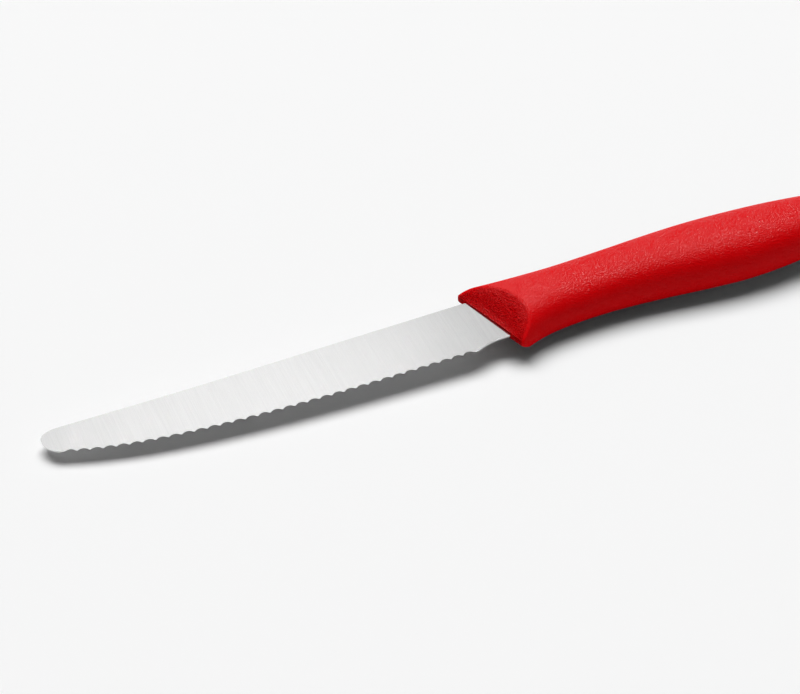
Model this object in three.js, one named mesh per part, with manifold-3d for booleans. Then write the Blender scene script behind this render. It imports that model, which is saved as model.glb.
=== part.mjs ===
// Serrated table knife: a stamped steel blade and the plastic handle moulded over its tang.
// Millimetres, +Z up. Both pieces are drawn about the blade's mid-plane: X runs from the tip towards the
// butt, Y from the cutting edge towards the spine, and the spine enters the handle just behind the origin.
// The finished knife is then turned and moved so that it lies as it rests on a table.
import * as THREE from "three";
import { mergeVertices } from "three/addons/utils/BufferGeometryUtils.js";
import Module from "manifold-3d";

// Blade
const BLADE_LENGTH = 110; // tip to the origin, along the spine
const BLADE_WIDTH = 17.7; // spine to the line of the teeth, at the heel
const SPINE_THICKNESS = 1.0; // at the origin
const EDGE_THINNING = 0.45; // thickness lost from the spine to the teeth
const TIP_THINNING = 0.2; // thickness lost from the origin to the tip
const SPINE_SWEEP = 45; // part of the spine, behind the tip's corner, that sweeps up
const TIP_RISE = 0.7; // how far it sweeps up
const TIP_CORNER_LENGTH = 4.7; // the tip's rounded upper corner, along the spine
const TIP_CORNER_DROP = 2.7; // and across the blade
const HEEL_START = 5.15; // from the origin to the last tooth
const HEEL_FLAT = 0.1; // plain edge behind that tooth
const HEEL_STEP = 2.0; // width lost in the curve that follows
const HEEL_STEP_LENGTH = 8.65;
const HEEL_STEP_START = 1; // control arm of that curve at the tooth
const HEEL_STEP_END = 5; // and at the handle

// Line of the teeth, a curve from the heel to the first tooth at the tip
const TIP_PLAIN = 6.8; // from the tip to the first tooth, along X
const TIP_WIDTH = 9.05; // straight spine to the first tooth
const TIP_SLOPE = 0.357; // of the line at the first tooth
const HEEL_ARM = 60.8; // control arm of the curve at the heel
const TIP_ARM = 15.4; // and at the tip

// Teeth: round scallops ground from the blade's lower side
const TOOTH_PITCH = 3.1; // adjusted to fit a whole number
const TOOTH_DEPTH = 0.78;
const TOOTH_FLAT = 0.15; // edge left between two scallops
const GRIND_ANGLE = THREE.MathUtils.degToRad(20); // between the ground hollows and the blade's upper face
const GRIND_REACH = 4; // half the length of a cutter

// Root and tang of the blade, hidden in the handle
const ROOT_LENGTH = 9; // full-width part behind the origin
const TANG_LENGTH = 62; // from the origin to its end
const TANG_TOP_STEP = 3.2; // spine to the tang's upper edge
const TANG_LOW_STEP = 3.7; // the root's lower edge to the tang's
const TANG_CORNER = 2; // inner corners at the root
const TANG_END_RADIUS = 3;
const LOCK_HOLE_RADIUS = 2.6;
const LOCK_HOLE_FROM_END = 14; // rear hole to the tang's end
const LOCK_HOLE_PITCH = 22;

// Handle: sections at even steps, from in front of the mouth, where it is cut off, to the butt.
// above is measured from the spine's line, below from the root's lower edge, half is half the thickness.
const HANDLE_LENGTH = 106;
const HANDLE_LEAD = 8; // from the first section to the origin
const SECTIONS = [
  { above: 4.1, below: 10.9, half: 6.3 },
  { above: 2.75, below: 6.1, half: 5.8 },
  { above: 1.35, below: 1.45, half: 6.5 },
  { above: 1.1, below: 0.1, half: 6.55 },
  { above: 1.2, below: 0.0, half: 6.9 },
  { above: 1.5, below: 0.9, half: 7.3 },
  { above: 1.6, below: 2.3, half: 7.6 },
  { above: 1.0, below: 3.25, half: 7.7 },
  { above: 0.0, below: 2.85, half: 7.4 },
  { above: -1.6, below: 1.35, half: 6.7 },
  { above: -3.5, below: -0.9, half: 5.8 },
];
const SECTION_POWER = 2.2; // 2 is an ellipse
const MOUTH_POWER = 2.5; // the boxier sections at the mouth
const MOUTH_POWER_END = 2; // along X, where they begin to change
const SECTION_POWER_START = 23; // and where the change is over
const BUTT_LENGTH = 11; // rounded end
const BUTT_POWER = 2.5;
const MOUTH_SLANT = THREE.MathUtils.degToRad(17.6); // of the mouth across the blade
const MOUTH_SETBACK = 0.3; // from the origin to the mouth, along X
const NOSE_SLOPE = THREE.MathUtils.degToRad(38.5); // of the two flat nose faces against the blade
const NOSE_LIP = 0.25; // upright strip above and below the blade
const NOSE_REACH = 40; // size of the tool that cuts the nose
const TANG_GAP = 0.2; // between the tang and the handle

// Mesh fineness
const CURVE_STEPS = 12;
const CUTTER_STEPS = 40; // half the sides of a round cutter
const HANDLE_RINGS = 30;
const HANDLE_COLUMNS = 46; // one side of the ring lies flat on the table
const BUTT_RINGS = 8;
const MERGE = 1e-4;

// Weights that decide how the knife lies, in g/mm3
const STEEL = 0.0077;
const POLYPROPYLENE = 0.00091;
const SLOPE_LIMIT = 0.2;
const SLOPE_STEPS = 60;

// Places that follow from the sizes
const ROOT_WIDTH = BLADE_WIDTH - HEEL_STEP;
const TANG_TOP = -TANG_TOP_STEP;
const TANG_LOW = -ROOT_WIDTH + TANG_LOW_STEP;
const LOCK_HOLE_Y = (TANG_TOP + TANG_LOW) / 2;
const LOCK_HOLE_REAR = TANG_LENGTH - LOCK_HOLE_FROM_END;
const LOCK_HOLES = [LOCK_HOLE_REAR - LOCK_HOLE_PITCH, LOCK_HOLE_REAR];

const wasm = await Module();
wasm.setup();

/** A closed geometry as a solid for the booleans. */
function solid(geometry) {
  const bare = geometry.clone();
  bare.deleteAttribute("normal");
  bare.deleteAttribute("uv");
  const merged = mergeVertices(bare, MERGE);
  return new wasm.Manifold(
    new wasm.Mesh({
      numProp: 3,
      vertProperties: merged.attributes.position.array,
      triVerts: new Uint32Array(merged.index.array),
    }),
  );
}

/** A solid as a geometry to draw. */
function geometryOf(shape) {
  const mesh = shape.getMesh();
  const geometry = new THREE.BufferGeometry();
  geometry.setAttribute("position", new THREE.BufferAttribute(mesh.vertProperties, 3));
  geometry.setIndex(new THREE.BufferAttribute(mesh.triVerts, 1));
  geometry.computeVertexNormals();
  return geometry;
}

/** Thickness of the blade at a point: it changes evenly, so both faces are flat. */
function thickness(x, y) {
  return SPINE_THICKNESS + (EDGE_THINNING * y) / BLADE_WIDTH + (TIP_THINNING * x) / BLADE_LENGTH;
}

/** A plan outline as a sheet of the blade's thickness, grown by a gap on both faces. */
function sheet(outline, gap) {
  const geometry = new THREE.ExtrudeGeometry(outline, {
    depth: 1,
    bevelEnabled: false,
    curveSegments: CURVE_STEPS,
  });
  const position = geometry.attributes.position;
  for (let i = 0; i < position.count; i++) {
    const full = thickness(position.getX(i), position.getY(i)) + 2 * gap;
    position.setZ(i, (position.getZ(i) - 0.5) * full);
  }
  return solid(geometry);
}

/** Draws the root and the tang from the lower edge round to the spine, grown by a gap. */
function drawTang(outline, gap) {
  const rootEnd = ROOT_LENGTH + gap;
  const low = TANG_LOW - gap;
  const top = TANG_TOP + gap;
  const end = TANG_LENGTH + gap;
  const inner = TANG_CORNER - gap;
  const outer = TANG_END_RADIUS + gap;
  outline.lineTo(rootEnd, -ROOT_WIDTH - gap);
  outline.lineTo(rootEnd, low - inner);
  outline.quadraticCurveTo(rootEnd, low, rootEnd + inner, low);
  outline.lineTo(end - outer, low);
  outline.quadraticCurveTo(end, low, end, low + outer);
  outline.lineTo(end, top - outer);
  outline.quadraticCurveTo(end, top, end - outer, top);
  outline.lineTo(rootEnd + inner, top);
  outline.quadraticCurveTo(rootEnd, top, rootEnd, top + inner);
  outline.lineTo(rootEnd, gap);
  outline.closePath();
}

/** Cuts the lock holes of the tang out of an outline, each shrunk by a gap. */
function drawLockHoles(outline, gap) {
  for (const x of LOCK_HOLES) {
    const hole = new THREE.Path();
    hole.absarc(x, LOCK_HOLE_Y, LOCK_HOLE_RADIUS - gap, 0, 2 * Math.PI, true);
    outline.holes.push(hole);
  }
}

/** The line of the teeth in plan, from the heel towards the tip. */
function toothLine() {
  const heel = new THREE.Vector2(-HEEL_START, -BLADE_WIDTH);
  const first = new THREE.Vector2(TIP_PLAIN - BLADE_LENGTH, -TIP_WIDTH);
  const arm = new THREE.Vector2(1, -TIP_SLOPE).setLength(TIP_ARM);
  return new THREE.CubicBezierCurve(
    heel,
    new THREE.Vector2(heel.x - HEEL_ARM, heel.y),
    first.clone().add(arm),
    first,
  );
}

/** The blade's plan outline before the teeth are ground. */
function bladeOutline(teeth) {
  const tip = -BLADE_LENGTH;
  const cornerEnd = tip + TIP_CORNER_LENGTH;
  const sweepStart = cornerEnd + SPINE_SWEEP;
  const tipCurve = -TIP_WIDTH + TIP_SLOPE * TIP_PLAIN;
  const heelEnd = -HEEL_START + HEEL_FLAT;
  const stepEnd = heelEnd + HEEL_STEP_LENGTH;
  const stepLeave = heelEnd + HEEL_STEP_START;
  const stepArrive = stepEnd - HEEL_STEP_END;
  const outline = new THREE.Shape();
  outline.moveTo(sweepStart, 0);
  outline.quadraticCurveTo((sweepStart + cornerEnd) / 2, 0, cornerEnd, TIP_RISE);
  outline.quadraticCurveTo(tip, TIP_RISE, tip, TIP_RISE - TIP_CORNER_DROP);
  outline.quadraticCurveTo(tip, tipCurve, teeth.v3.x, teeth.v3.y);
  outline.bezierCurveTo(teeth.v2.x, teeth.v2.y, teeth.v1.x, teeth.v1.y, teeth.v0.x, teeth.v0.y);
  outline.lineTo(heelEnd, -BLADE_WIDTH);
  outline.bezierCurveTo(stepLeave, -BLADE_WIDTH, stepArrive, -ROOT_WIDTH, stepEnd, -ROOT_WIDTH);
  drawTang(outline, 0);
  drawLockHoles(outline, 0);
  return outline;
}

/** The round cutter that grinds the scallop between two teeth, leaning out through the upper face. */
function scallopCutter(from, to) {
  const chord = from.distanceTo(to) - TOOTH_FLAT;
  const rise = TOOTH_DEPTH * Math.sin(GRIND_ANGLE);
  const radius = (chord * chord) / (8 * rise) + rise / 2;
  const profile = new THREE.Shape();
  profile.absarc(0, -radius, radius, 0, 2 * Math.PI);
  const geometry = new THREE.ExtrudeGeometry(profile, {
    depth: 2 * GRIND_REACH,
    bevelEnabled: false,
    curveSegments: CUTTER_STEPS,
  });
  const along = new THREE.Vector3(from.x - to.x, from.y - to.y, 0).normalize();
  const up = new THREE.Vector3(0, 0, 1);
  const outward = new THREE.Vector3().crossVectors(along, up);
  const axis = outward.clone().multiplyScalar(Math.cos(GRIND_ANGLE));
  axis.addScaledVector(up, Math.sin(GRIND_ANGLE));
  const crown = new THREE.Vector3().crossVectors(axis, along);
  const start = new THREE.Vector3((from.x + to.x) / 2, (from.y + to.y) / 2, 0);
  start.addScaledVector(outward, -TOOTH_DEPTH);
  start.z = thickness(start.x, start.y) / 2;
  start.addScaledVector(axis, -GRIND_REACH);
  geometry.applyMatrix4(new THREE.Matrix4().makeBasis(along, crown, axis).setPosition(start));
  return solid(geometry);
}

/** The blade with its ground teeth. */
function bladeSolid() {
  const teeth = toothLine();
  const count = Math.round(teeth.getLength() / TOOTH_PITCH);
  const cusps = teeth.getSpacedPoints(count);
  const lastStep = cusps[count].clone().sub(cusps[count - 1]);
  cusps.push(cusps[count].clone().add(lastStep)); // a shallow scallop runs out at the tip
  const cutters = cusps.slice(1).map((cusp, i) => scallopCutter(cusps[i], cusp));
  const grinder = cutters.reduce((joined, cutter) => joined.add(cutter));
  return sheet(bladeOutline(teeth), 0).subtract(grinder);
}

/** A power that keeps the sign of its base. */
function signedPower(base, exponent) {
  return Math.sign(base) * Math.abs(base) ** exponent;
}

/** One ring of the handle: a superellipse of the section at a share of the way along, drawn in by scale. */
function ringPoints(section, x, scale) {
  const top = section.x;
  const low = -ROOT_WIDTH - section.y;
  const halfWidth = ((top - low) / 2) * scale;
  const halfHeight = section.z * scale;
  const change = THREE.MathUtils.smoothstep(x, MOUTH_POWER_END, SECTION_POWER_START);
  const exponent = 2 / THREE.MathUtils.lerp(MOUTH_POWER, SECTION_POWER, change);
  return Array.from({ length: HANDLE_COLUMNS }, (_, column) => {
    const angle = (2 * Math.PI * column) / HANDLE_COLUMNS;
    const y = (top + low) / 2 + halfWidth * signedPower(Math.cos(angle), exponent);
    return new THREE.Vector3(x, y, halfHeight * signedPower(Math.sin(angle), exponent));
  });
}

/** The handle's body as one closed loft from the first section to the butt. */
function handleBody() {
  const sections = new THREE.CatmullRomCurve3(
    SECTIONS.map((s) => new THREE.Vector3(s.above, s.below, s.half)),
    false,
    "catmullrom",
  );
  const span = HANDLE_LENGTH + HANDLE_LEAD;
  const grip = span - BUTT_LENGTH;
  const rings = [];
  for (let i = 0; i < HANDLE_RINGS; i++) {
    const along = (grip * i) / HANDLE_RINGS;
    rings.push(ringPoints(sections.getPoint(along / span), along - HANDLE_LEAD, 1));
  }
  for (let i = 0; i < BUTT_RINGS; i++) {
    const share = Math.sin((Math.PI * i) / (2 * BUTT_RINGS));
    const along = grip + BUTT_LENGTH * share;
    const scale = (1 - share ** BUTT_POWER) ** (1 / BUTT_POWER);
    rings.push(ringPoints(sections.getPoint(along / span), along - HANDLE_LEAD, scale));
  }
  const front = sections.getPoint(0);
  const butt = sections.getPoint(1);
  const points = rings.flat();
  points.push(new THREE.Vector3(-HANDLE_LEAD, (front.x - ROOT_WIDTH - front.y) / 2, 0));
  points.push(new THREE.Vector3(HANDLE_LENGTH, (butt.x - ROOT_WIDTH - butt.y) / 2, 0));
  const lastRing = (rings.length - 1) * HANDLE_COLUMNS;
  const frontPole = rings.length * HANDLE_COLUMNS;
  const buttPole = frontPole + 1;
  const faces = [];
  for (let column = 0; column < HANDLE_COLUMNS; column++) {
    const next = (column + 1) % HANDLE_COLUMNS;
    faces.push(frontPole, next, column);
    for (let start = 0; start < lastRing; start += HANDLE_COLUMNS) {
      const a = start + column;
      const b = start + next;
      faces.push(a, b, b + HANDLE_COLUMNS);
      faces.push(a, b + HANDLE_COLUMNS, a + HANDLE_COLUMNS);
    }
    faces.push(buttPole, lastRing + column, lastRing + next);
  }
  return solid(new THREE.BufferGeometry().setFromPoints(points).setIndex(faces));
}

/** The tool that cuts the slanted mouth: all in front of the upright strip and the two nose faces. */
function noseCutter() {
  const strip = SPINE_THICKNESS / 2 + NOSE_LIP;
  const high = strip + NOSE_REACH * Math.tan(NOSE_SLOPE);
  const profile = new THREE.Shape();
  profile.moveTo(0, strip);
  profile.lineTo(NOSE_REACH, high);
  profile.lineTo(-NOSE_REACH, high);
  profile.lineTo(-NOSE_REACH, -high);
  profile.lineTo(NOSE_REACH, -high);
  profile.lineTo(0, -strip);
  profile.closePath();
  const geometry = new THREE.ExtrudeGeometry(profile, { depth: 2 * NOSE_REACH, bevelEnabled: false });
  const back = new THREE.Vector3(Math.cos(MOUTH_SLANT), Math.sin(MOUTH_SLANT), 0);
  const up = new THREE.Vector3(0, 0, 1);
  const across = new THREE.Vector3().crossVectors(back, up);
  const start = across.clone().multiplyScalar(-NOSE_REACH);
  start.x += MOUTH_SETBACK;
  geometry.applyMatrix4(new THREE.Matrix4().makeBasis(back, up, across).setPosition(start));
  return solid(geometry);
}

/** The pocket for the root and the tang, open at the mouth, around the plugs of plastic in the lock holes. */
function tangPocket() {
  const outline = new THREE.Shape();
  outline.moveTo(-HANDLE_LEAD, TANG_GAP);
  outline.lineTo(-HANDLE_LEAD, -ROOT_WIDTH - TANG_GAP);
  drawTang(outline, TANG_GAP);
  drawLockHoles(outline, TANG_GAP);
  return sheet(outline, TANG_GAP);
}

/** Where along X the knife balances. */
function balancePoint(weights) {
  let mass = 0;
  let moment = 0;
  for (const [geometry, density] of weights) {
    const corner = (i) => new THREE.Vector3().fromBufferAttribute(geometry.attributes.position, i);
    const index = geometry.index.array;
    for (let i = 0; i < index.length; i += 3) {
      const [a, b, c] = [corner(index[i]), corner(index[i + 1]), corner(index[i + 2])];
      const share = (density * a.dot(new THREE.Vector3().crossVectors(b, c))) / 6;
      mass += share;
      moment += (share * (a.x + b.x + c.x)) / 4;
    }
  }
  return moment / mass;
}

/** The slope of the table under the knife: of all lines below it, the highest at the balance point. */
function tableSlope(weights) {
  const middle = balancePoint(weights);
  const height = (slope) => {
    let lowest = Infinity;
    for (const [geometry] of weights) {
      const position = geometry.attributes.position;
      for (let i = 0; i < position.count; i++) {
        lowest = Math.min(lowest, position.getZ(i) - slope * (position.getX(i) - middle));
      }
    }
    return lowest;
  };
  let low = -SLOPE_LIMIT;
  let high = SLOPE_LIMIT;
  for (let i = 0; i < SLOPE_STEPS; i++) {
    const third = (high - low) / 3;
    if (height(low + third) < height(high - third)) {
      low += third;
    } else {
      high -= third;
    }
  }
  return (low + high) / 2;
}

const bladeGeometry = geometryOf(bladeSolid());
const handleGeometry = geometryOf(handleBody().subtract(noseCutter()).subtract(tangPocket()));

const blade = new THREE.Mesh(
  bladeGeometry,
  new THREE.MeshStandardMaterial({ color: 0xd4d6d8, roughness: 0.35, metalness: 1 }),
);
blade.name = "blade";

const handle = new THREE.Mesh(
  handleGeometry,
  new THREE.MeshStandardMaterial({ color: 0xc8141c, roughness: 0.55, metalness: 0 }),
);
handle.name = "handle";

const drawing = new THREE.Group();
drawing.add(blade, handle);
drawing.rotation.y = Math.atan(tableSlope([[bladeGeometry, STEEL], [handleGeometry, POLYPROPYLENE]]));

const knife = new THREE.Group();
knife.add(drawing);
const box = new THREE.Box3().setFromObject(knife, true);
const centre = box.getCenter(new THREE.Vector3());
drawing.position.set(-centre.x, -centre.y, -box.min.z);

export default knife;
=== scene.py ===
"""Looks of a serrated table knife: its steel blade and its red moulded handle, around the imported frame.

Both pieces are drawn in millimetres about the blade's mid-plane, as the CAD model is: X runs from the tip
towards the butt, Y from the cutting edge towards the spine, Z is the blade's normal, and the spine enters the
handle just behind the drawing's origin. RestPose then lays the drawing on the table, in metres.
"""

import logging
import math
from collections.abc import Sequence
from dataclasses import dataclass, field
from enum import Enum

import bmesh
import bpy
import numpy as np
from mathutils import Matrix, Vector


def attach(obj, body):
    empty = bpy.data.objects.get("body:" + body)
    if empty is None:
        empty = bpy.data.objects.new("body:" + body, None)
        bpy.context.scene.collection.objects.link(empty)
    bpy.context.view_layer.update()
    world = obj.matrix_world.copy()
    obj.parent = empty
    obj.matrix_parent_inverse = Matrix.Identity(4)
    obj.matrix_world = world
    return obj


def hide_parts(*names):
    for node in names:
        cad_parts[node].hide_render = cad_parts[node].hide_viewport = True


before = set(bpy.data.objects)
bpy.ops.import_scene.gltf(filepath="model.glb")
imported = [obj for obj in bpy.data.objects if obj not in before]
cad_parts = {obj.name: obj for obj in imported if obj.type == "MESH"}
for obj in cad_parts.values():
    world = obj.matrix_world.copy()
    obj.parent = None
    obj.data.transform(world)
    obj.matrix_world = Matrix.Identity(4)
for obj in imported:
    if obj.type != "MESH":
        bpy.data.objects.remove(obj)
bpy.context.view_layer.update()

log = logging.getLogger("knife")

Socket = bpy.types.NodeSocket
MILLIMETRE = 0.001
MERGE_DISTANCE = 2e-7
PATTERN_SCALE = 1 / MILLIMETRE  # turns metres into millimetres for the patterns
NOISE_SPAN = (0.3, 0.7)  # where most of a noise's values lie
FINE_STEPS = 4000  # steps of a curve that is measured or searched


class Slot(Enum):
    """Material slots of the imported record."""

    STEEL = "steel"
    PLASTIC = "plastic"


def bezier(points: Sequence[tuple[float, float]], share: np.ndarray) -> np.ndarray:
    """A plane curve of any degree: straight blends between neighbouring points, repeated until one is left.

    Args:
        points: the curve's control points.
        share: how far along each wanted point is, from 0 to 1.

    Returns:
        One point per share, (n, 2).
    """
    rows = np.repeat(np.asarray(points, float)[:, None], len(share), axis=1)
    while len(rows) > 1:
        rows = rows[:-1] * (1 - share)[:, None] + rows[1:] * share[:, None]
    return rows[0]


def normals_of(path: np.ndarray, side: float) -> np.ndarray:
    """Unit normals of a plane path: its own steps turned by a quarter.

    Args:
        path: points of the path, (n, 2).
        side: 1 for the normals at its right, -1 for those at its left.

    Returns:
        One normal per point, (n, 2).
    """
    step = np.gradient(path, axis=0)
    step /= np.linalg.norm(step, axis=1, keepdims=True)
    return side * np.stack([step[:, 1], -step[:, 0]], axis=1)


def signed_power(base: np.ndarray, exponent: float) -> np.ndarray:
    """A power of each number's size, which keeps its sign."""
    return np.sign(base) * np.abs(base) ** exponent


@dataclass(frozen=True)
class RestPose:
    """How the drawing lies on the table."""

    tip_down: float = math.radians(1.38976)
    offset: tuple[float, float, float] = (2.00395, 8.54119, 6.12765)

    def lay(self, drawn: np.ndarray) -> np.ndarray:
        """Points of the drawing in the frame: turned about Y by the slope, then moved, then in metres.

        Args:
            drawn: points in the drawing, in millimetres, (..., 3).

        Returns:
            The same points in the frame, in metres.
        """
        x, y, z = np.moveaxis(drawn, -1, 0)
        along = x * math.cos(self.tip_down) - z * math.sin(self.tip_down)
        up = x * math.sin(self.tip_down) + z * math.cos(self.tip_down)
        return (np.stack([along, y, up], axis=-1) + np.array(self.offset)) * MILLIMETRE


@dataclass
class Surface:
    """A grid of points that is closed around its rows and open from its first row to its last."""

    name: str
    points: np.ndarray
    marks: dict[str, np.ndarray] = field(default_factory=dict)
    sharp_angle: float = math.radians(35)

    def quads(self) -> np.ndarray:
        """Corner numbers of the grid's faces, turned so that the closed surface faces outwards."""
        rows, columns = self.points.shape[:2]
        row, column = np.meshgrid(np.arange(rows - 1), np.arange(columns), indexing="ij")
        beside = (column + 1) % columns
        corners = [row * columns + column, row * columns + beside]
        corners += [(row + 1) * columns + beside, (row + 1) * columns + column]
        faces = np.stack(corners, axis=-1).reshape(-1, 4)
        a, b, c, d = np.moveaxis(self.points.reshape(-1, 3)[faces], 1, 0)
        volume = np.einsum("ij,ij->", a, np.cross(b, c)) + np.einsum("ij,ij->", a, np.cross(c, d))
        return faces if volume > 0 else faces[:, ::-1]

    def build(self, pose: RestPose) -> bpy.types.Object:
        """The surface as a smooth mesh object: points that meet are merged, so poles and ends are closed.

        Args:
            pose: how the drawing lies on the table.

        Returns:
            An object at the origin, with its place in its mesh.
        """
        faces = self.quads()
        mesh = bpy.data.meshes.new(self.name)
        mesh.from_pydata(pose.lay(self.points.reshape(-1, 3)), [], faces)
        for name, values in self.marks.items():
            layer = mesh.attributes.new(name, "FLOAT", "POINT")
            layer.data.foreach_set("value", values.astype(np.float32).ravel())
        shell = bmesh.new()
        shell.from_mesh(mesh)
        bmesh.ops.remove_doubles(shell, verts=shell.verts, dist=MERGE_DISTANCE)
        bmesh.ops.dissolve_degenerate(shell, edges=shell.edges, dist=MERGE_DISTANCE)
        shell.to_mesh(mesh)
        shell.free()
        mesh.polygons.foreach_set("use_smooth", np.ones(len(mesh.polygons), bool))
        mesh.set_sharp_from_angle(angle=self.sharp_angle)
        mesh.update()
        piece = bpy.data.objects.new(self.name, mesh)
        bpy.context.scene.collection.objects.link(piece)
        return piece


class NodeGraph:
    """The node tree of a material or of the world, filled from left to right."""

    def __init__(self, owner: bpy.types.ID) -> None:
        """Empties the owner's node tree."""
        owner.use_nodes = True
        self.tree = owner.node_tree
        self.tree.nodes.clear()

    def add(self, kind: str, settings: dict | None = None, **inputs: object) -> bpy.types.Node:
        """A new node.

        Args:
            kind: the node's type name.
            settings: its own properties.
            inputs: its sockets by name, with _ for a space; an output is linked, any other value is set.

        Returns:
            The node.
        """
        node = self.tree.nodes.new(kind)
        for name, value in (settings or {}).items():
            setattr(node, name, value)
        for name, value in inputs.items():
            self.feed(node.inputs[name.replace("_", " ")], value)
        return node

    def feed(self, socket: Socket, value: object) -> None:
        """Links an output to a socket, or sets the socket's own value."""
        if isinstance(value, Socket):
            self.tree.links.new(value, socket)
        else:
            socket.default_value = value

    def pattern_place(self, scale: tuple[float, float, float], turn: float = 0.0) -> Socket:
        """Object coordinates for a pattern.

        Args:
            scale: pattern units per millimetre along X, Y and Z.
            turn: angle about Z that the pattern is turned by.

        Returns:
            The mapped coordinates.
        """
        place = self.add("ShaderNodeTexCoord").outputs["Object"]
        full = tuple(s * PATTERN_SCALE for s in scale)
        mapped = self.add("ShaderNodeMapping", Vector=place, Scale=full, Rotation=(0, 0, turn))
        return mapped.outputs["Vector"]

    def noise(self, vector: Socket, detail: float, roughness: float = 0.5) -> Socket:
        """A noise of unit scale on mapped coordinates."""
        fineness = {"Detail": detail, "Roughness": roughness}
        settings = {"noise_dimensions": "3D"}
        return self.add("ShaderNodeTexNoise", settings, Vector=vector, Scale=1.0, **fineness).outputs["Fac"]

    def mark(self, name: str) -> Socket:
        """A mark of the surface, as its points hold it."""
        return self.add("ShaderNodeAttribute", {"attribute_name": name}).outputs["Fac"]

    def spread(self, value: Socket, span: tuple[float, float], to: tuple[float, float]) -> Socket:
        """A value within a span, spread over another range and held at its ends."""
        ends = {"From_Min": span[0], "From_Max": span[1], "To_Min": to[0], "To_Max": to[1]}
        return self.add("ShaderNodeMapRange", Value=value, **ends).outputs["Result"]

    def blend(self, share: Socket, first: Sequence[float], second: Sequence[float]) -> Socket:
        """A colour between two, by a share that varies over the surface."""
        ramp = self.add("ShaderNodeValToRGB", Fac=share)
        ramp.color_ramp.elements[0].color = (*first, 1)
        ramp.color_ramp.elements[1].color = (*second, 1)
        return ramp.outputs["Color"]

    def profile(self, value: Socket, stops: Sequence[tuple[float, float]]) -> Socket:
        """A level that follows straight lines between stops.

        Args:
            value: what the level depends on.
            stops: pairs of a value and the level there, in rising order.

        Returns:
            The level, held at its ends.
        """
        first, last = stops[0][0], stops[-1][0]
        ramp = self.add("ShaderNodeValToRGB", Fac=self.spread(value, (first, last), (0, 1)))
        elements = ramp.color_ramp.elements
        while len(elements) < len(stops):
            elements.new(0.5)
        for element, (place, level) in zip(elements, stops):
            element.position = (place - first) / (last - first)
            element.color = (level, level, level, 1)
        return ramp.outputs["Color"]

    def bump(self, relief: Socket, height: float) -> Socket:
        """Normals of a relief whose unit is a height in millimetres."""
        return self.add("ShaderNodeBump", Height=relief, Distance=height * MILLIMETRE).outputs["Normal"]

    def sums(self, operation: str, first: object, second: object) -> Socket:
        """Two values added, multiplied or joined in another way."""
        node = self.add("ShaderNodeMath", {"operation": operation})
        self.feed(node.inputs[0], first)
        self.feed(node.inputs[1], second)
        return node.outputs["Value"]


@dataclass(frozen=True)
class SteelFinish:
    """Satin stainless steel, ground across the blade's width."""

    dark: tuple[float, float, float] = (0.705, 0.705, 0.705)
    light: tuple[float, float, float] = (0.755, 0.755, 0.753)
    roughness: tuple[float, float] = (0.16, 0.18)
    streak: tuple[float, float, float] = (6.0, 0.05, 1.0)
    streak_turn: float = math.radians(4)
    streak_detail: tuple[float, float] = (4, 0.6)
    streak_height: float = 0.0008
    ground_gloss: float = 0.06

    def material(self) -> bpy.types.Material:
        """The finish as a material: streaks in colour, gloss and relief, and glossier where it is ground."""
        made = bpy.data.materials.new("satin_steel")
        graph = NodeGraph(made)
        streaks = graph.noise(graph.pattern_place(self.streak, self.streak_turn), *self.streak_detail)
        satin = graph.spread(streaks, NOISE_SPAN, self.roughness)
        gloss = graph.sums("MULTIPLY", graph.mark("ground"), self.ground_gloss)
        shader = graph.add(
            "ShaderNodeBsdfPrincipled",
            Base_Color=graph.blend(graph.spread(streaks, NOISE_SPAN, (0, 1)), self.dark, self.light),
            Metallic=1.0,
            Roughness=graph.sums("SUBTRACT", satin, gloss),
            Normal=graph.bump(streaks, self.streak_height),
        )
        graph.add("ShaderNodeOutputMaterial", Surface=shader.outputs["BSDF"])
        return made


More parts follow.
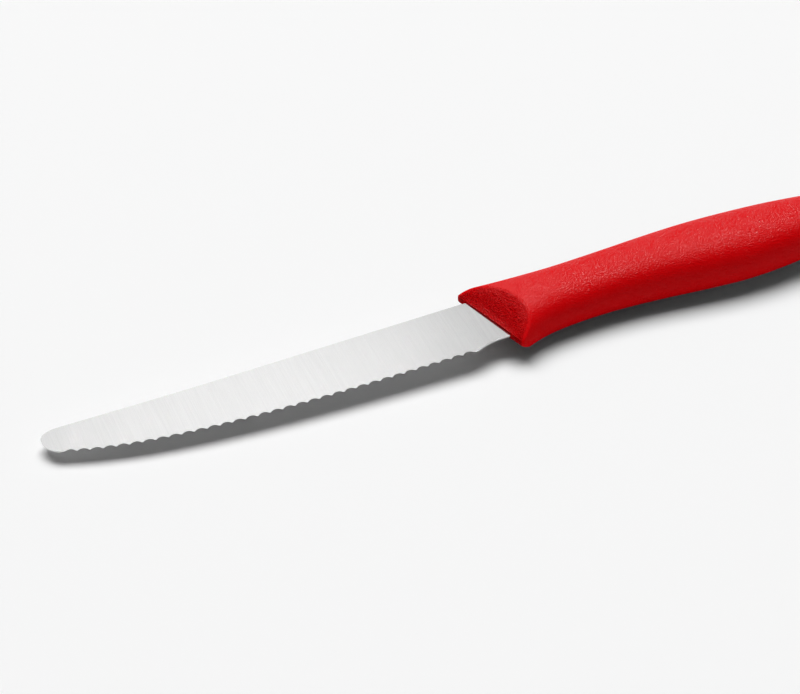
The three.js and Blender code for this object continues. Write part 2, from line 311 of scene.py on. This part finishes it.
@dataclass(frozen=True)
class PlasticFinish:
    """Red polypropylene with the fine grain of a spark-eroded mould."""

    # the dark end of the colour, used for the grain and for the painted shade on the nose
    deep: tuple[float, float, float] = (0.36, 0.0003, 0.001)
    bright: tuple[float, float, float] = (0.74, 0.001, 0.003)
    roughness: tuple[float, float] = (0.4, 0.5)
    skin: tuple[float, float] = (0.1, 0.68)
    skin_roughness: float = 0.25
    skin_span: tuple[float, float] = (0.35, 0.65)
    dull_skin: float = 0.22
    grain: tuple[float, float, float] = (3.2, 3.2, 3.2)
    grain_height: float = 0.2
    body_height: float = 0.2
    grain_tone: float = 0.95
    # how much painted shade darkens the nose's colour, more where the grain is low, so the grain shows in it
    # too
    nose_grain_and_painted_shade: tuple[float, float] = (0.65, 0.1)
    nose_height: float = 3.5

    def material(self) -> bpy.types.Material:
        """The finish as a material: a coloured body under a thin skin, whose gloss the grain breaks up.

        The nose mark paints shade into the colour of the nose faces and the lip strip, and a lighter painted
        highlight along the crease.
        """
        made = bpy.data.materials.new("moulded_red")
        graph = NodeGraph(made)
        grain = graph.noise(graph.pattern_place(self.grain), 0)
        nose = graph.mark("nose")
        relief = graph.sums("MULTIPLY", grain, graph.spread(nose, (0, 1), (1, self.nose_height)))
        gloss = graph.spread(graph.mark("dull"), (0, 1), (1, self.dull_skin))
        tone = graph.spread(grain, NOISE_SPAN, (self.grain_tone, 1))
        nose_grain_and_painted_shade = graph.spread(grain, NOISE_SPAN, self.nose_grain_and_painted_shade)
        # painted shade: the nose mark darkens the colour towards deep on the nose faces and most on the lip
        # strip, and less on the crease, which gives a painted highlight line
        tone = graph.sums("SUBTRACT", tone, graph.sums("MULTIPLY", nose, nose_grain_and_painted_shade))
        shader = graph.add(
            "ShaderNodeBsdfPrincipled",
            Base_Color=graph.blend(tone, self.deep, self.bright),
            Roughness=graph.spread(grain, NOISE_SPAN, self.roughness),
            Specular_IOR_Level=0.0,
            Normal=graph.bump(relief, self.body_height),
            Coat_Weight=graph.sums("MULTIPLY", graph.spread(grain, self.skin_span, self.skin), gloss),
            Coat_Roughness=self.skin_roughness,
            Coat_Normal=graph.bump(relief, self.grain_height),
        )
        graph.add("ShaderNodeOutputMaterial", Surface=shader.outputs["BSDF"])
        return made


@dataclass
class Blade:
    """The stamped blade: ground teeth, rounded tip, stepped heel, and the root and tang inside the handle.

    Sizes are in millimetres. The first ones are those of the CAD model, and worn_round and what follows it
    are of the looks alone.
    """

    length: float = 110.0
    width: float = 17.7
    spine_thickness: float = 1.0
    edge_thinning: float = 0.45
    tip_thinning: float = 0.2
    spine_sweep: float = 45.0
    tip_rise: float = 0.7
    tip_corner_length: float = 4.7
    tip_corner_drop: float = 2.7
    heel_start: float = 5.15
    heel_flat: float = 0.1
    heel_step: float = 2.0
    heel_step_length: float = 8.65
    heel_step_arms: tuple[float, float] = (1.0, 5.0)
    tip_plain: float = 6.8
    tip_width: float = 9.05
    tip_slope: float = 0.357
    heel_arm: float = 60.8
    tip_arm: float = 15.4
    tooth_pitch: float = 3.1
    tooth_depth: float = 0.78
    tooth_flat: float = 0.15
    grind_angle: float = math.radians(20)
    root_length: float = 9.0
    tang_length: float = 62.0
    tang_top_step: float = 3.2
    tang_low_step: float = 3.7
    tang_corner: float = 2.0
    tang_end_radius: float = 3.0
    worn_round: float = 0.12
    keen_round: float = 0.015
    tip_fall: float = 0.25
    tip_fall_length: float = 8.0
    sharp_angle: float = math.radians(10)
    tooth_steps: int = 24
    curve_steps: int = 40
    corner_steps: int = 4
    wall_steps: int = 5
    face_shares: tuple[float, ...] = (0.02, 0.25, 0.5, 0.75, 0.98)

    @property
    def root_width(self) -> float:
        """Width of the root, behind the heel's step."""
        return self.width - self.heel_step

    def thickness(self, x: np.ndarray, y: np.ndarray) -> np.ndarray:
        """Thickness at a point: it changes evenly along and across, so both faces are flat."""
        along = self.tip_thinning * x / self.length
        return self.spine_thickness + self.edge_thinning * y / self.width + along

    def spine_height(self, x: np.ndarray) -> np.ndarray:
        """Y of the spine: straight, then a parabola that sweeps up, then the tip's rounded corner."""
        corner_end = self.tip_corner_length - self.length
        sweep = np.clip((corner_end + self.spine_sweep - x) / self.spine_sweep, 0, 1)
        corner = np.sqrt(np.clip((x + self.length) / self.tip_corner_length, 0, 1))
        return self.tip_rise * sweep**2 - self.tip_corner_drop * (1 - corner) ** 2

    def tooth_line(self) -> tuple[np.ndarray, float, int]:
        """The line of the teeth from the tip to the heel, in even steps of arc length.

        Returns:
            Its points, its length and its number of teeth.
        """
        slant = np.array([1, -self.tip_slope]) / math.hypot(1, self.tip_slope)
        first = np.array([self.tip_plain - self.length, -self.tip_width])
        heel = np.array([-self.heel_start, -self.width])
        arms = [first, first + self.tip_arm * slant, heel - [self.heel_arm, 0], heel]
        curve = bezier(arms, np.linspace(0, 1, FINE_STEPS))
        run = np.concatenate([[0], np.cumsum(np.linalg.norm(np.diff(curve, axis=0), axis=1))])
        teeth = round(run[-1] / self.tooth_pitch)
        even = np.linspace(0, run[-1], teeth * self.tooth_steps + 1)
        return np.stack([np.interp(even, run, curve[:, i]) for i in range(2)], axis=1), run[-1], teeth

    def stations(self) -> tuple[np.ndarray, np.ndarray, np.ndarray]:
        """The blade's outline as pairs of points on its spine and its edge, from the tip to the tang's end.

        Returns:
            The spine's points, the edge's points, and the distance of each pair behind the first tooth.
        """
        teeth, run, _ = self.tooth_line()
        share = np.linspace(0, 1, self.curve_steps)
        tip = -self.length
        belly_control = (tip, -self.tip_width + self.tip_slope * self.tip_plain)
        belly = bezier([(tip, self.tip_rise - self.tip_corner_drop), belly_control, tuple(teeth[0])], share)
        heel_end = self.heel_flat - self.heel_start
        step_end = heel_end + self.heel_step_length
        leave = (heel_end + self.heel_step_arms[0], -self.width)
        arrive = (step_end - self.heel_step_arms[1], -self.root_width)
        step = [(heel_end, -self.width), leave, arrive, (step_end, -self.root_width)]
        edge = np.concatenate([belly[:-1], teeth, bezier(step, share)])
        spine = np.stack([edge[:, 0], self.spine_height(edge[:, 0])], axis=1)
        tang_spine, tang_edge = self.tang(0.0)
        steps = np.linalg.norm(np.diff(edge, axis=0), axis=1)
        behind = np.concatenate([[0], np.cumsum(steps)])
        behind -= behind[len(belly) - 1]
        past = np.full(len(tang_edge), behind[-1] + run)
        spine = np.concatenate([spine, tang_spine])
        edge = np.concatenate([edge, tang_edge])
        return spine, edge, np.concatenate([behind, past])

    def tang(self, gap: float) -> tuple[np.ndarray, np.ndarray]:
        """The root's end and the tang as pairs of points, grown by a gap.

        Args:
            gap: how far the outline stands off.

        Returns:
            The upper edge's points and the lower edge's.
        """
        share = np.linspace(0, 1, self.curve_steps // 4)
        start = self.root_length + gap
        end = self.tang_length + gap
        inner = self.tang_corner - gap
        outer = self.tang_end_radius + gap
        edges = []
        for root, tang, side in (
            (gap, gap - self.tang_top_step, 1),
            (-self.root_width - gap, -self.root_width + self.tang_low_step - gap, -1),
        ):
            corner = bezier([(start, tang + side * inner), (start, tang), (start + inner, tang)], share)
            finish = bezier([(end - outer, tang), (end, tang), (end, tang - side * outer)], share)
            edges.append(np.concatenate([[(start, root)], corner, finish]))
        return edges[0], edges[1]

    def grinding(self, behind: np.ndarray, below: np.ndarray) -> np.ndarray:
        """How deep the teeth's hollows cut in from the outline.

        Each hollow is a round groove across the edge that leans by the grind angle: at a distance a from its
        middle line it lies rise = r - sqrt(r^2 - a^2) lower than its crown, so at a level below the top face
        it reaches (cos(angle) * below - rise) / sin(angle) further in than the tooth's depth. At the tip the
        outline bends away from the teeth's line by a parabola, which the depth loses.

        Args:
            behind: distance behind the first tooth.
            below: distance below the top face.

        Returns:
            The depth, 0 where nothing is ground.
        """
        _, run, teeth = self.tooth_line()
        pitch = run / teeth
        crown = self.tooth_depth * math.sin(self.grind_angle)
        chord = pitch - self.tooth_flat
        radius = chord**2 / (8 * crown) + crown / 2
        number = np.clip(np.floor(behind / pitch), -1, teeth - 1)
        across = np.clip(np.abs(behind - (number + 0.5) * pitch), 0, radius)
        rise = radius - np.sqrt(radius**2 - across**2)
        reach = (math.cos(self.grind_angle) * below - rise) / math.sin(self.grind_angle)
        arm = np.array([self.tip_plain, self.tip_slope * self.tip_plain])
        rest = self.tip_width - arm[1] + self.tip_rise - self.tip_corner_drop
        bend = arm[0] * rest / (2 * np.linalg.norm(arm) ** 3)
        belly = bend * np.minimum(behind, 0) ** 2 / 2
        return np.maximum(self.tooth_depth + reach - belly, 0)

    def wall(
        self, path: np.ndarray, outward: np.ndarray, behind: np.ndarray | None, rounding: np.ndarray
    ) -> np.ndarray:
        """One edge of the blade, from its top face down to its lower face.

        A row lies a given distance below the top face and is set in from the outline by the grinding there
        and by a quarter circle at each corner.

        Args:
            path: the outline, (n, 2).
            outward: its normals.
            behind: distance behind the first tooth, or None where nothing is ground.
            rounding: radius of the corners at each station.

        Returns:
            Points, (rows, n, 3).
        """
        full = self.thickness(path[:, 0], path[:, 1])
        turn = np.linspace(0, math.pi / 2, self.corner_steps)[:, None]
        corner_drop = rounding * (1 - np.cos(turn))
        corner_inset = rounding * (1 - np.sin(turn))
        share = np.linspace(0, 1, self.wall_steps + 2)[1:-1, None]
        middle = rounding + share * (full - 2 * rounding)
        below = np.concatenate([corner_drop, middle, (full - corner_drop)[::-1]])
        inset = np.concatenate([corner_inset, np.zeros_like(middle), corner_inset[::-1]])
        if behind is not None:
            inset = inset + self.grinding(behind, below)
        place = path - outward * inset[..., None]
        height = self.thickness(place[..., 0], place[..., 1]) * (0.5 - below / full)
        return np.concatenate([place, height[..., None]], axis=-1)

    def face(self, start: np.ndarray, end: np.ndarray, side: float) -> np.ndarray:
        """A flat side of the blade: straight lines between two of its edges.

        Args:
            start: points of the edge that the lines leave, (n, 3).
            end: points of the edge that they reach.
            side: 1 for the upper side, -1 for the lower.

        Returns:
            Points between the two edges, (rows, n, 3).
        """
        share = np.array(self.face_shares)[:, None, None]
        lines = start + share * (end - start)
        lines[..., 2] = side * self.thickness(lines[..., 0], lines[..., 1]) / 2
        return lines

    def tip_drop(self, x: np.ndarray) -> np.ndarray:
        """How far the upper face falls away at the tip: a parabola over its last millimetres."""
        share = np.clip(1 - (x + self.length) / self.tip_fall_length, 0, 1)
        return self.tip_fall * share**2

    def surface(self) -> Surface:
        """The whole blade: loops around its section, carried from the tip to the end of the tang.

        Returns:
            The surface, with a mark where the teeth are ground.
        """
        spine, edge, behind = self.stations()
        up, out = normals_of(spine, -1), normals_of(edge, 1)
        up[0] = (-1, 0)
        out[0] = (-1, 0)
        low_wall = self.wall(edge, out, behind, np.full(len(edge), self.keen_round))
        worn = np.full(len(spine), self.worn_round)
        worn[0] = self.keen_round  # both edges meet in one line at the tip
        top_wall = self.wall(spine, up, None, worn)[::-1]
        upper = self.face(top_wall[-1], low_wall[0], 1)
        lower = self.face(low_wall[-1], top_wall[0], -1)
        loops = np.concatenate([low_wall, lower, top_wall, upper])
        loops[..., 2] -= self.tip_drop(loops[..., 0]) * (loops[..., 2] > 0)
        ground = np.zeros(loops.shape[:2])
        level = np.full_like(low_wall[1:, :, 2], self.keen_round)
        ground[1 : len(low_wall)] = self.grinding(behind, level) > 0
        closing = loops[:, -1:] * (1, 1, 0)
        points = np.concatenate([loops, closing], axis=1).swapaxes(0, 1)
        marks = np.concatenate([ground, ground[:, -1:] * 0], axis=1).swapaxes(0, 1)
        return Surface("knife_blade", points, {"ground": marks}, self.sharp_angle)


@dataclass
class Handle:
    """The moulded handle: a lofted grip with a rounded butt, slanted nose faces and a pocket for the tang.

    Sizes are in millimetres. A section gives the height above the spine's line, the depth below the root's
    lower edge and half the thickness, at even steps from in front of the mouth to the butt.
    nose_and_painted_light_marks has a value for each row of the front, from the rim to the slot: it marks the
    nose for its coarser grain and duller skin, and paints light into its colour, with painted shade on the
    nose faces and most of it on the lip strip, and a lighter painted highlight along the crease.
    """

    length: float = 106.0
    lead: float = 8.0
    sections: tuple[tuple[float, float, float], ...] = (
        (4.1, 10.9, 6.3),
        (2.75, 6.1, 5.8),
        (1.35, 1.45, 6.5),
        (1.1, 0.1, 6.55),
        (1.2, 0.0, 6.9),
        (1.5, 0.9, 7.3),
        (1.6, 2.3, 7.6),
        (1.0, 3.25, 7.7),
        (0.0, 2.85, 7.4),
        (-1.6, 1.35, 6.7),
        (-3.5, -0.9, 5.8),
    )
    section_power: float = 2.2
    flat_depth: float = 0.02
    butt_length: float = 11.0
    butt_power: float = 2.5
    mouth_slant: float = math.radians(17.6)
    mouth_setback: float = 0.3
    nose_slope: float = math.radians(38.5)
    mouth_power: float = 2.5
    mouth_power_end: float = 2.0
    section_power_start: float = 23.0
    lip: float = 0.4
    lip_edge: float = 0.05
    gap: float = 0.2
    rim_round: float = 0.3
    corner_round: float = 0.5
    corner_power: float = 6.0
    crease_round: float = 0.15
    # the nose mark by row: painted shade on the nose faces, little on the crease for a painted highlight
    # line, the most on the lip strip by the slot
    nose_and_painted_light_marks: tuple[float, ...] = (0.5, 0.8, 1.0, 1.0, 0.3, 0.1, 0.3, 1.3, 1.3, 1.3, 1.3)
    gloss_end: float = 0.9
    gloss_fade: float = 0.28
    side_columns: int = 14
    face_columns: int = 110
    grip_rows: int = 120
    butt_rows: int = 24
    rim_rows: int = 9
    rim_rounds: int = 40
    nose_shares: tuple[float, ...] = (0.75, 0.5, 0.25)
    crease_shares: tuple[float, ...] = (1.2, 0.6, 0.25, 0.0)
    lip_shares: tuple[float, ...] = (0.12, 0.3, 0.6, 1.0)

    def section(self, x: np.ndarray, root_width: float) -> tuple[np.ndarray, np.ndarray, np.ndarray]:
        """The section at a place along the handle: a smooth curve through the given ones, at even steps.

        Between two sections it is the cubic whose slope at each is half the step between its neighbours.

        Args:
            x: places along the handle.
            root_width: width of the blade's root, which the lower edge is measured from.

        Returns:
            Upper edge, lower edge and half thickness.
        """
        knots = np.array(self.sections)
        knots = np.concatenate([[2 * knots[0] - knots[1]], knots, [2 * knots[-1] - knots[-2]]])
        last = len(self.sections) - 1
        place = np.clip((x + self.lead) / (self.length + self.lead), 0, 1) * last
        index = np.minimum(place.astype(int), last - 1)
        t = (place - index)[..., None]
        before, start, end, after = (knots[index + i] for i in range(4))
        leave, arrive = (end - before) / 2, (after - start) / 2
        curve = start + t * leave + t**2 * (3 * (end - start) - 2 * leave - arrive)
        curve = curve + t**3 * (2 * (start - end) + leave + arrive)
        return curve[..., 0], -root_width - curve[..., 1], curve[..., 2]

    def power(self, x: np.ndarray) -> np.ndarray:
        """Power of the section's superellipse: boxier at the mouth, along the smooth step 3t^2 - 2t^3."""
        t = np.clip((x - self.mouth_power_end) / (self.section_power_start - self.mouth_power_end), 0, 1)
        return self.mouth_power + (self.section_power - self.mouth_power) * t**2 * (3 - 2 * t)

    def body(self, angle: np.ndarray, x: np.ndarray, scale: np.ndarray, root_width: float) -> np.ndarray:
        """Points of the grip: a superellipse of the section at x, inside the CAD's flats, times a scale.

        Args:
            angle: direction around the section.
            x: place along the handle.
            scale: 1 on the grip, smaller towards the butt's end.
            root_width: width of the blade's root.

        Returns:
            Points, with a last axis of 3.
        """
        top, low, half = self.section(x, root_width)
        power = 2 / self.power(x)
        y = (top + low) / 2 + (top - low) / 2 * scale * signed_power(np.cos(angle), power)
        z = (half - self.flat_depth) * scale * signed_power(np.sin(angle), power)
        return np.stack([x + 0 * y, y, z], axis=-1)

    def front(self, y: np.ndarray, z: np.ndarray, strip: float) -> np.ndarray:
        """Points of the slanted front over a place across it: an upright strip and two flat nose faces.

        The distance behind the mouth's line is the height over the strip, divided by the slope. A hyperbola
        rounds the crease between the strip and the face.

        Args:
            y: place across the blade.
            z: place along its normal.
            strip: half height of the upright strip.

        Returns:
            Points, with a last axis of 3.
        """
        over = np.abs(z) - strip
        over = (over + np.sqrt(over**2 + self.crease_round**2)) / 2
        back = over / math.tan(self.nose_slope)
        x = self.mouth_setback + (back - y * math.sin(self.mouth_slant)) / math.cos(self.mouth_slant)
        return np.stack([x, y, z], axis=-1)

    def rim(self, angle: np.ndarray, blade: Blade) -> tuple[np.ndarray, np.ndarray, np.ndarray]:
        """The edge between the grip and the front, found by repeated substitution, and its rounding.

        Args:
            angle: directions around the section.
            blade: the blade in the mouth.

        Returns:
            Points where the rounding leaves the grip, the sharp edge, and points where it meets the front.
        """
        strip = blade.spine_thickness / 2 + self.lip
        x = np.zeros_like(angle)
        for _ in range(self.rim_rounds):
            corner = self.body(angle, x, 1.0, blade.root_width)
            x = self.front(corner[:, 1], corner[:, 2], strip)[:, 0]
        inset = self.rim_round + self.corner_round * np.abs(np.cos(angle)) ** self.corner_power
        ring = corner[:, 1:]
        outward = normals_of(np.concatenate([ring[-1:], ring, ring[:1]]), 1)[1:-1]
        inner = ring - outward * inset[:, None]
        leave = self.body(angle, x + inset, 1.0, blade.root_width)
        return leave, corner, self.front(inner[:, 0], inner[:, 1], strip)

    def columns(self, blade: Blade) -> tuple[np.ndarray, np.ndarray]:
        """Directions around the handle, with one on each corner of the strip.

        Args:
            blade: the blade in the mouth.

        Returns:
            The directions, and for each its share across the slot's own side, from -1 to 1.
        """
        strip = blade.spine_thickness / 2 + self.lip
        dense = np.linspace(0, 2 * math.pi, FINE_STEPS, endpoint=False)
        rise = self.rim(dense, blade)[2][:, 2]
        quarter = len(dense) // 4
        first = np.interp(strip, rise[:quarter], dense[:quarter])
        second = np.interp(-strip, -rise[quarter : 2 * quarter], dense[quarter : 2 * quarter])
        turns = [-first, first, second, 2 * math.pi - second, 2 * math.pi - first]
        counts = [self.side_columns, self.face_columns, self.side_columns, self.face_columns]
        spans = [np.linspace(a, b, n, endpoint=False) for a, b, n in zip(turns, turns[1:], counts)]
        shares = [np.linspace(-1, 1, n, endpoint=False) for n in counts]
        return np.concatenate(spans), np.concatenate(shares)

    def surface(self, blade: Blade) -> Surface:
        """The whole handle: rings from the butt's pole over the grip, rim and front into the pocket's end.

        Args:
            blade: the blade that the pocket holds.

        Returns:
            The surface, with a mark on the front, which also paints shade and a highlight into the colour
            there, and one where the skin is dull: there and low down.
        """
        angle, share = self.columns(blade)
        leave, corner, meet = self.rim(angle, blade)
        grip_end = self.length - self.butt_length
        closing = np.sin(np.linspace(math.pi / 2, 0, self.butt_rows))[:, None]
        scale = (1 - closing**self.butt_power) ** (1 / self.butt_power)
        butt = self.body(angle, grip_end + self.butt_length * closing, scale, blade.root_width)
        along = np.linspace(1, 0, self.grip_rows, endpoint=False)[1:, None]
        grip = self.body(angle, leave[:, 0] + along * (grip_end - leave[:, 0]), 1.0, blade.root_width)
        t = np.linspace(0, 1, self.rim_rows)[:, None, None]
        rim = (1 - t) ** 2 * leave + 2 * t * (1 - t) * corner + t**2 * meet
        front = self.front_rows(meet, share, blade)
        pocket = self.pocket_rows(front[-1], share, blade)
        points = np.concatenate([butt, grip, rim, front, pocket])
        nose = np.zeros(points.shape[:2])
        start = len(butt) + len(grip) + len(rim) - 2
        # the nose mark: painted shade on the nose faces and the lip strip, a lighter painted highlight on the
        # crease
        nose[start + 1 : start + 1 + len(front)] = np.array(self.nose_and_painted_light_marks)[:, None]
        rise = signed_power(np.sin(angle), 2 / self.section_power)
        low = np.clip((self.gloss_end - rise) / self.gloss_fade, 0, 1)
        dull = np.maximum(low, np.clip(nose, 0, 1))
        return Surface("knife_handle", points, {"nose": nose, "dull": dull})

    def side_of(self) -> np.ndarray:
        """Which side of the slot each column belongs to: 0 spine end, 1 upper, 2 lower end, 3 underside."""
        counts = [self.side_columns, self.face_columns, self.side_columns, self.face_columns]
        return np.repeat(np.arange(4), counts)

    def slot_ring(self, share: np.ndarray, top: float, low: float) -> tuple[np.ndarray, np.ndarray]:
        """A ring around the blade's section.

        Args:
            share: place of each column across its own side, from -1 to 1.
            top: upper end of the ring.
            low: lower end of the ring.

        Returns:
            Y of each column, and its height as a share of the slot's half height.
        """
        side = self.side_of()
        middle, half = (top + low) / 2, (top - low) / 2
        y = np.choose(side, [top + 0 * share, middle - half * share, low + 0 * share, middle + half * share])
        height = np.choose(side, [share, 1 + 0 * share, -share, -1 + 0 * share])
        return y, height

    def front_rows(self, meet: np.ndarray, share: np.ndarray, blade: Blade) -> np.ndarray:
        """Rows over the front, from the rim across the nose faces and the strip to the slot.

        Args:
            meet: points where the rim's rounding meets the front.
            share: place of each column across its own side of the slot.
            blade: the blade in the mouth.

        Returns:
            Points, (rows, columns, 3), the last row on the slot's edge.
        """
        strip = blade.spine_thickness / 2 + self.lip
        y, z = meet[:, 1], meet[:, 2]
        crease = np.clip(z, -strip, strip)
        far = np.array(self.nose_shares)[:, None]
        near = np.array(self.crease_shares)[:, None] * self.crease_round
        over = np.abs(z - crease)
        on_face = np.maximum(far * over, np.minimum(2 * self.crease_round, over))
        heights = np.concatenate([on_face, np.minimum(near, 0.5 * over)])
        nose = self.front(y + 0 * heights, crease + np.sign(z) * heights, strip)
        slot_y, slot_share = self.slot_ring(share, self.gap, -blade.root_width - self.gap)
        slot_z = slot_share * (strip - self.lip_edge)
        step = np.array(self.lip_shares)[:, None]
        lip = self.front(y + step * (slot_y - y), crease + step * (slot_z - crease), strip)
        return np.concatenate([nose, lip])

    def pocket_rows(self, edge: np.ndarray, share: np.ndarray, blade: Blade) -> np.ndarray:
        """Rows of the pocket, a gap outside the blade's root and tang, pressed flat at its end.

        Args:
            edge: the slot's edge.
            share: place of each column across its own side of the slot.
            blade: the blade that the pocket holds.

        Returns:
            Points, (rows, columns, 3).
        """
        upper, lower = blade.tang(self.gap)
        rows = []
        for top, low in zip(upper, lower):
            y, height = self.slot_ring(share, top[1], low[1])
            x = np.full_like(y, top[0])
            rows.append(np.stack([x, y, height * (blade.thickness(x, y) / 2 + self.gap)], axis=-1))
        rows.append(rows[-1] * (1, 1, 0))
        return np.array(rows)


@dataclass(frozen=True)
class Studio:
    """The floor, the light and the camera of the photograph, in metres.

    A panel's stops are pairs of a direction's part along X or Y and the level that mirrored rays see there.
    """

    floor_half: float = 4.0
    floor_colour: tuple[float, float, float] = (0.93, 0.93, 0.93)
    key_elevation: float = math.radians(71)
    key_azimuth: float = math.radians(18)
    key_distance: float = 10.0
    key_power: float = 1160.0
    key_angles: tuple[float, float] = (math.radians(50), math.radians(35))
    fill_level: float = 0.05
    fill_angle: float = math.radians(175)
    ambient: float = 0.03
    background: tuple[float, float, float] = (1.0, 1.0, 1.0)
    panel_across: tuple[tuple[float, float], ...] = (
        (-0.4, 0.6),
        (0.04, 0.75),
        (0.15, 1.0),
        (0.245, 1.0),
        (0.285, 0.5),
    )
    panel_depth: tuple[tuple[float, float], ...] = ((-0.4, 0.6), (0.2, 1.0))
    camera_place: tuple[float, float, float] = (-0.159143, -0.358575, 0.336577)
    camera_azimuth: float = math.radians(21.3478)
    camera_elevation: float = math.radians(40.6234)
    camera_roll: float = math.radians(-2.0229)
    camera_lens: float = 93.53
    sensor_width: float = 36.0

    def lay_floor(self) -> None:
        """A wide floor at height 0: a grid of two by two points."""
        x, y = np.meshgrid([-self.floor_half, self.floor_half], [-self.floor_half, self.floor_half])
        points = np.stack([x, y, 0 * x], axis=-1).reshape(-1, 3)
        mesh = bpy.data.meshes.new("studio_floor")
        mesh.from_pydata(points, [], [(0, 1, 3, 2)])
        floor = bpy.data.objects.new("studio_floor", mesh)
        bpy.context.scene.collection.objects.link(floor)
        made = bpy.data.materials.new("pale_floor")
        graph = NodeGraph(made)
        shader = graph.add("ShaderNodeBsdfDiffuse", Color=(*self.floor_colour, 1))
        graph.add("ShaderNodeOutputMaterial", Surface=shader.outputs["BSDF"])
        mesh.materials.append(made)

    def hang_light(self) -> None:
        """A soft key light from above and behind, and a weak fill from the whole sky."""
        source = self.towards(self.key_azimuth, self.key_elevation)
        key = bpy.data.lights.new("key_light", "AREA")
        key.shape = "RECTANGLE"
        key.size, key.size_y = (2 * self.key_distance * math.tan(angle / 2) for angle in self.key_angles)
        key.energy = self.key_power
        self.hang(key, source).location = source * self.key_distance
        fill = bpy.data.lights.new("fill_light", "SUN")
        fill.angle = self.fill_angle
        fill.energy = self.fill_level * math.pi
        self.hang(fill, Vector((0, 0, 1)))

    @staticmethod
    def towards(azimuth: float, elevation: float) -> Vector:
        """The direction of a place in the studio, with azimuth 0 along +Y and a quarter turn along +X."""
        flat = math.cos(elevation)
        return Vector((flat * math.sin(azimuth), flat * math.cos(azimuth), math.sin(elevation)))

    @staticmethod
    def hang(lamp: bpy.types.Light, source: Vector) -> bpy.types.Object:
        """Hangs a lamp that shines from a direction. Only shadow rays carry its light, which pieces stop.

        Args:
            lamp: the lamp.
            source: direction that it shines from.

        Returns:
            The lamp's object, at the origin.
        """
        lamp.cycles.use_multiple_importance_sampling = False
        holder = bpy.data.objects.new(lamp.name, lamp)
        holder.rotation_euler = source.to_track_quat("Z", "Y").to_euler()
        holder.visible_camera = False
        bpy.context.scene.collection.objects.link(holder)
        return holder

    def paint_background(self) -> None:
        """White for the camera, graded by direction for mirrored rays, and weak ambient light."""
        world = bpy.data.worlds.new("studio")
        bpy.context.scene.world = world
        graph = NodeGraph(world)
        path = graph.add("ShaderNodeLightPath").outputs
        direction = graph.add("ShaderNodeTexCoord").outputs["Generated"]
        parts = graph.add("ShaderNodeSeparateXYZ", Vector=direction).outputs
        across = graph.profile(parts["X"], self.panel_across)
        level = graph.sums("MULTIPLY", across, graph.profile(parts["Y"], self.panel_depth))
        mirrored = graph.sums("MAXIMUM", path["Is Glossy Ray"], path["Is Transmission Ray"])
        shown = graph.sums("MAXIMUM", path["Is Camera Ray"], graph.sums("MULTIPLY", mirrored, level))
        shed = graph.sums("MULTIPLY", path["Is Diffuse Ray"], self.ambient)
        seen = graph.sums("MAXIMUM", shown, shed)
        back = graph.add("ShaderNodeBackground", Color=(*self.background, 1), Strength=seen)
        graph.add("ShaderNodeOutputWorld", Surface=back.outputs["Background"])

    def set_camera(self) -> None:
        """The camera where the photograph was taken from."""
        data = bpy.data.cameras.new("photo_camera")
        data.lens = self.camera_lens
        data.sensor_width = self.sensor_width
        data.clip_start = 0.01
        camera = bpy.data.objects.new("photo_camera", data)
        turn = Matrix.Rotation(-self.camera_azimuth, 4, "Z")
        lean = Matrix.Rotation(math.pi / 2 - self.camera_elevation, 4, "X")
        roll = Matrix.Rotation(self.camera_roll, 4, "Z")
        camera.matrix_world = Matrix.Translation(self.camera_place) @ turn @ lean @ roll
        bpy.context.scene.collection.objects.link(camera)
        bpy.context.scene.camera = camera


def dress(piece: bpy.types.Object, finish: SteelFinish | PlasticFinish, node: str) -> None:
    """Gives a piece its finish and ties it to the CAD node that it stands for.

    Args:
        piece: the finished piece.
        finish: its finish.
        node: the CAD node's name.
    """
    piece.data.materials.append(finish.material())
    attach(piece, "root")
    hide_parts(node)
    log.info("%s: %d vertices, %d faces", piece.name, len(piece.data.vertices), len(piece.data.polygons))


def main() -> None:
    """Builds the studio, the blade and the handle, in that order."""
    logging.basicConfig(level=logging.INFO, format="%(name)s: %(message)s")
    bpy.context.scene.view_settings.view_transform = "Standard"
    studio = Studio()
    studio.lay_floor()
    studio.hang_light()
    studio.paint_background()
    studio.set_camera()
    pose = RestPose()
    blade = Blade()
    handle = Handle()
    dress(blade.surface().build(pose), SteelFinish(), "blade")
    grip = handle.surface(blade).build(pose)
    grip.visible_diffuse = False  # its red glow stays off the floor: the photographed shadow is neutral
    dress(grip, PlasticFinish(), "handle")


if __name__ == "__main__":
    main()
